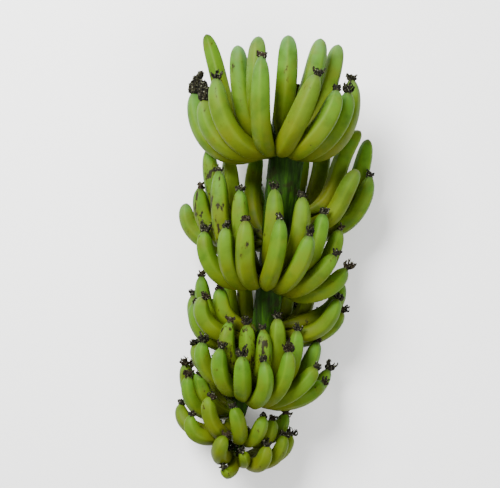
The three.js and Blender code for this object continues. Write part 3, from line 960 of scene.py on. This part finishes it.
def add_flower(piece, finger):
    centres, _, side, along = finger_path(finger)
    tip, over = centres[FINGER_RINGS - 1], np.cross(along, side)
    whole = finger.flower > WHOLE_FROM
    kind = CLUSTER if whole else TUFT
    t = np.linspace(0, 1, kind["rings"])
    lean = side * draw() * 3 + over * draw() * 3
    if whole:
        lean = np.array([CLUSTER_LEANS[finger.index], 0, CLUSTER_RISE]) * finger.flower
    spine = tip + np.outer(t * finger.flower - 1, along) + np.outer(t * t, lean)
    stub = finger.girth * kind["plump"] * (0.62 + 0.42 * np.sin(math.pi * (0.1 + 0.75 * t)))
    stub = stub * (1 - kind["taper"] * t) * (1.02 - t**5)**0.5
    stub *= [1 + 0.16 * draw() for _ in t]
    piece.add(bent(spine, stub, stub * 0.9, STUB_SIDES, side), STUB_SIDES, len(t))
    wild, tall = 1 + 0.35 * draw(), 0.9 + 0.6 * draw()
    for _ in range(kind["shreds"] if whole else round(kind["shreds"] * wild)):
        turn, height = math.pi * draw(), (draw() + 1) / 2
        out = side * math.cos(turn) + over * math.sin(turn)
        ring = round(height * (len(t) - 2))
        foot = spine[ring] + out * stub[ring] * 0.7
        if whole:
            size, rise = 5 - 2 * height + 1.4 * draw(), 1
        else:
            size, rise = (7 + 3 * draw()) * wild * min(1, finger.girth / 12), tall
        sway = np.cross(out, along) * draw() + along * 0.6 * draw()
        add_shred(piece, foot, out, along * rise, sway, size, kind["width"])


print("a cluster has", CLUSTER["shreds"], "shreds and a tuft about", TUFT["shreds"])

# %% [markdown]
# ## Every flower, and the rags at the end
# The flowers are gathered hand by hand, apart from the peel, because their finish is another one. Rags of
# the oldest flowers also cling round the stem's thin end, between the last fingers. They are single shreds
# with no stub.

# %% All the dried flowers
RAGS = {"hand": "hand_8", "high": -346, "low": -386, "count": 70, "round": 130, "width": 3}  # mm and degrees


def add_stem_rags(piece):
    """The rags of old flowers that cling round the stem's thin end."""
    high, low = RAGS["high"], RAGS["low"]
    for _ in range(RAGS["count"]):
        y = (high + low) / 2 + (high - low) / 2 * draw()
        out = outward(RAGS["round"] * draw())
        foot = stem_at(y) + out * (stem_radius(y) - 1)
        sway = np.cross(out, (0, 1, 0)) * draw()
        add_shred(piece, foot, out, np.array([0, 0.9 * draw(), 0]), sway, 11 + 4 * draw(), RAGS["width"])


for hand in HANDS:
    piece = Gathered()
    for finger in fingers:
        if finger.hand is hand and finger.flower:
            add_flower(piece, finger)
    if hand["name"] == RAGS["hand"]:
        add_stem_rags(piece)
    piece.finish(hand["name"] + "_flowers", dry, hand["name"], slot="peel")

# %% [markdown]
# ## The floor
# The floor is plain and pale, as the photograph's ground is. It belongs to the stage and not to the object.

# %% The floor
floor_finish, tree, shader = finish_named("pale_floor", 0.9)
shader.inputs["Base Color"].default_value = paint("#fbfbfa")
bm = bmesh.new()
bmesh.ops.create_grid(bm, x_segments=1, y_segments=1, size=12)
floor_mesh = bpy.data.meshes.new("floor")
bm.to_mesh(floor_mesh)
bm.free()
floor_mesh.materials.append(floor_finish)
floor = bpy.data.objects.new("floor", floor_mesh)
bpy.context.scene.collection.objects.link(floor)
print("floor of", len(floor_mesh.polygons), "face")

# %% [markdown]
# ## The lights
# A small lamp would put hard sparks on the wax, and the peel's shine is broad. So a large soft light stands
# past the cut end and to the left, with a weak one opposite, and an even white world fills the shadows.

# %% The lights
def soft_light(name, place_m, aim_m, size, watts):
    lamp = bpy.data.lights.new(name, "AREA")
    lamp.shape, lamp.size, lamp.energy = "DISK", size, watts
    holder = bpy.data.objects.new(name, lamp)
    holder.location = place_m
    holder.rotation_euler = (Vector(aim_m) - Vector(place_m)).to_track_quat("-Z", "Y").to_euler()
    bpy.context.scene.collection.objects.link(holder)


AIM = (0, 0, 0.1)
soft_light("window", (-1.1, 1.5, 2.3), AIM, 1.3, 255)
soft_light("room", (1.3, -0.9, 2.4), AIM, 1.8, 62)
world = bpy.data.worlds.new("studio")
world.use_nodes = True
world.node_tree.nodes["Background"].inputs["Color"].default_value = (1, 1, 1, 1)
world.node_tree.nodes["Background"].inputs["Strength"].default_value = 0.7
bpy.context.scene.world = world
print("world", world.name, "and", len(bpy.data.lights), "lights")

# %% [markdown]
# ## The camera
# It looks straight down, from two metres above the height of the stem. From nearer, the upper fingers would
# look too large beside the lower ones. The lens is chosen so that the picture is as wide at the stem as the
# photograph is in the scale the bunch was measured in.

# %% The camera
PHOTO_WIDTH_M, CAMERA_RISE_M, SENSOR = 0.9, 2.0, 36
STEM_HEIGHT = 130  # its middle's, in millimetres
lens = bpy.data.cameras.new("camera")
lens.sensor_width = SENSOR
lens.lens = SENSOR * CAMERA_RISE_M / PHOTO_WIDTH_M
camera = bpy.data.objects.new("camera", lens)
camera.location = (MIDDLE[0] / 1000, MIDDLE[1] / 1000, CAMERA_RISE_M + (STEM_HEIGHT + MIDDLE[2]) / 1000)
bpy.context.scene.collection.objects.link(camera)
bpy.context.scene.camera = camera
print("camera at", [round(c, 3) for c in camera.location])
